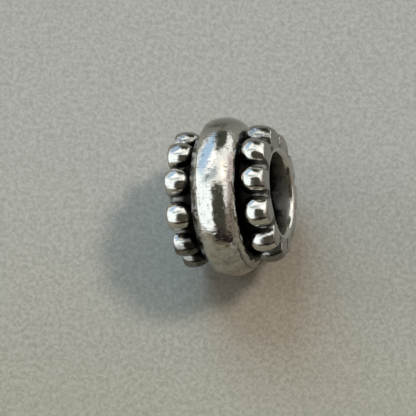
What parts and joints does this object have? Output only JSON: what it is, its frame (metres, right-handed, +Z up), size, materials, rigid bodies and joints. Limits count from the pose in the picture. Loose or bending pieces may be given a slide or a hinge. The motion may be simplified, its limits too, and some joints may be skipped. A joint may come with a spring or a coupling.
{
  "type": "european charm bead",
  "caption": "Large-hole silver charm bead for a bracelet, with a half-round central band between two rows of granules.",
  "frame": {"origin": "on the surface that the bead lies on, under the middle of its box", "axes": "+Z up; +Y level, across the bead's diameter; the bore runs in the XZ plane and rises towards +X"},
  "size_m": [0.0082, 0.0094, 0.0093],
  "materials": {
    "antiqued_silver": "polished sterling silver with blackened recesses"
  },
  "bodies": {
    "root": {"cast_bead": "antiqued_silver"}
  },
  "joints": []
}
